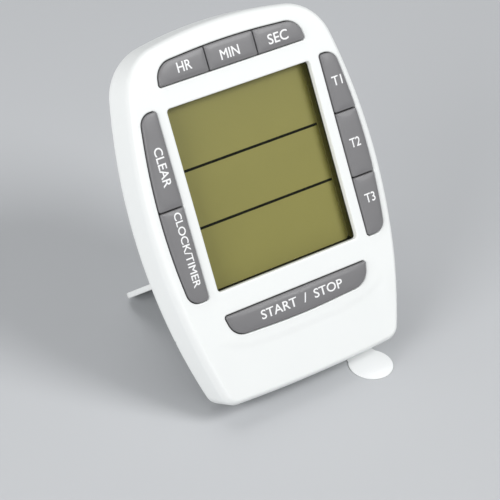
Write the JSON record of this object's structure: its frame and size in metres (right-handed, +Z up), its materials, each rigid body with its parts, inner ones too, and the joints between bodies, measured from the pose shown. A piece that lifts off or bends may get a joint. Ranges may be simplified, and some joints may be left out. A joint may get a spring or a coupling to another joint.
{
  "type": "lab timer",
  "caption": "Three-channel countdown timer and clock with a triple-line display and keys on all four sides, leaning back on a fold-out stand.",
  "frame": {"origin": "middle of the bounding box on the bench, with the case leaning back on its open stand", "axes": "+Z up from the bench, +X to the user's right as they read the display, -Y towards the user"},
  "size_m": [0.0714, 0.0664, 0.0867],
  "materials": {
    "white_case": "moulded white plastic, fine satin gloss",
    "grey_keys": "satin grey plastic with white printed legends",
    "clear_window": "clear polished acrylic",
    "lcd_panel": "olive reflective liquid crystal panel, blank, with two dark dividing lines",
    "black_frame": "matt black",
    "contact_rubber": "striped conductive rubber",
    "silicone": "translucent grey silicone",
    "circuit_board": "green solder mask",
    "black_epoxy": "black epoxy drop",
    "nickel_steel": "nickel plated",
    "brass_disc": "plain brass with a grey ceramic face",
    "red_wire": "red wire insulation",
    "cell_jacket": "plain dark jacket, no print",
    "magnet": "nickel plated magnet",
    "tab_film": "thin white plastic film"
  },
  "bodies": {
    "case": {"front_shell": "white_case", "back_shell": "white_case", "display_window": "clear_window", "display_frame": "black_frame", "display_panel": "lcd_panel", "contact_strip_upper": "contact_rubber", "contact_strip_lower": "contact_rubber", "circuit_board": "circuit_board", "controller_chip": "black_epoxy", "clock_crystal": "nickel_steel", "keypad_top": "silicone", "keypad_bottom": "silicone", "keypad_right": "silicone", "keypad_left": "silicone", "buzzer_disc": "brass_disc", "buzzer_wire_red": "red_wire", "buzzer_wire_black": "black_frame", "battery_cell": "cell_jacket", "positive_contact": "nickel_steel", "negative_contact": "nickel_steel", "negative_spring": "nickel_steel", "battery_wire_red": "red_wire", "battery_wire_black": "black_frame", "case_screw_top_left": "nickel_steel", "case_screw_top_right": "nickel_steel", "case_screw_bottom_left": "nickel_steel", "case_screw_bottom_right": "nickel_steel", "board_screw_left": "nickel_steel", "board_screw_right": "nickel_steel", "magnet_left": "magnet", "magnet_right": "magnet"},
    "key_hours": {"key_hours": "grey_keys"},
    "key_minutes": {"key_minutes": "grey_keys"},
    "key_seconds": {"key_seconds": "grey_keys"},
    "key_start_stop": {"key_start_stop": "grey_keys"},
    "key_clear": {"key_clear": "grey_keys"},
    "key_clock_timer": {"key_clock_timer": "grey_keys"},
    "key_channel_1": {"key_channel_1": "grey_keys"},
    "key_channel_2": {"key_channel_2": "grey_keys"},
    "key_channel_3": {"key_channel_3": "grey_keys"},
    "battery_door": {"battery_door": "white_case"},
    "pull_tab": {"pull_tab": "tab_film"},
    "stand": {"stand": "white_case"}
  },
  "joints": [
    {"name": "key_hours_press", "type": "slide", "parent": "case", "child": "key_hours", "axis": [0, 0.8387, -0.5446], "range_m": [0, 0.0008], "stiffness_N_per_m": 1200, "deforming": ["keypad_top"]},
    {"name": "key_minutes_press", "type": "slide", "parent": "case", "child": "key_minutes", "axis": [0, 0.8387, -0.5446], "range_m": [0, 0.0008], "stiffness_N_per_m": 1200, "deforming": ["keypad_top"]},
    {"name": "key_seconds_press", "type": "slide", "parent": "case", "child": "key_seconds", "axis": [0, 0.8387, -0.5446], "range_m": [0, 0.0008], "stiffness_N_per_m": 1200, "deforming": ["keypad_top"]},
    {"name": "key_start_stop_press", "type": "slide", "parent": "case", "child": "key_start_stop", "axis": [0, 0.8387, -0.5446], "range_m": [0, 0.0008], "stiffness_N_per_m": 1200, "deforming": ["keypad_bottom"]},
    {"name": "key_clear_press", "type": "slide", "parent": "case", "child": "key_clear", "axis": [0, 0.8387, -0.5446], "range_m": [0, 0.0008], "stiffness_N_per_m": 1200, "deforming": ["keypad_left"]},
    {"name": "key_clock_timer_press", "type": "slide", "parent": "case", "child": "key_clock_timer", "axis": [0, 0.8387, -0.5446], "range_m": [0, 0.0008], "stiffness_N_per_m": 1200, "deforming": ["keypad_left"]},
    {"name": "key_channel_1_press", "type": "slide", "parent": "case", "child": "key_channel_1", "axis": [0, 0.8387, -0.5446], "range_m": [0, 0.0008], "stiffness_N_per_m": 1200, "deforming": ["keypad_right"]},
    {"name": "key_channel_2_press", "type": "slide", "parent": "case", "child": "key_channel_2", "axis": [0, 0.8387, -0.5446], "range_m": [0, 0.0008], "stiffness_N_per_m": 1200, "deforming": ["keypad_right"]},
    {"name": "key_channel_3_press", "type": "slide", "parent": "case", "child": "key_channel_3", "axis": [0, 0.8387, -0.5446], "range_m": [0, 0.0008], "stiffness_N_per_m": 1200, "deforming": ["keypad_right"]},
    {"name": "battery_door_slide", "type": "slide", "parent": "case", "child": "battery_door", "axis": [0, -0.5446, -0.8387], "range_m": [0, 0.018]},
    {"name": "pull_tab_slide", "type": "slide", "parent": "case", "child": "pull_tab", "axis": [0, -0.5446, -0.8387], "range_m": [0, 0.004]},
    {"name": "stand_fold", "type": "hinge", "parent": "case", "child": "stand", "pos_m": [0, 0.00076, 0.02967], "axis": [1, 0, 0], "range_deg": [-3, 101.2]}
  ]
}
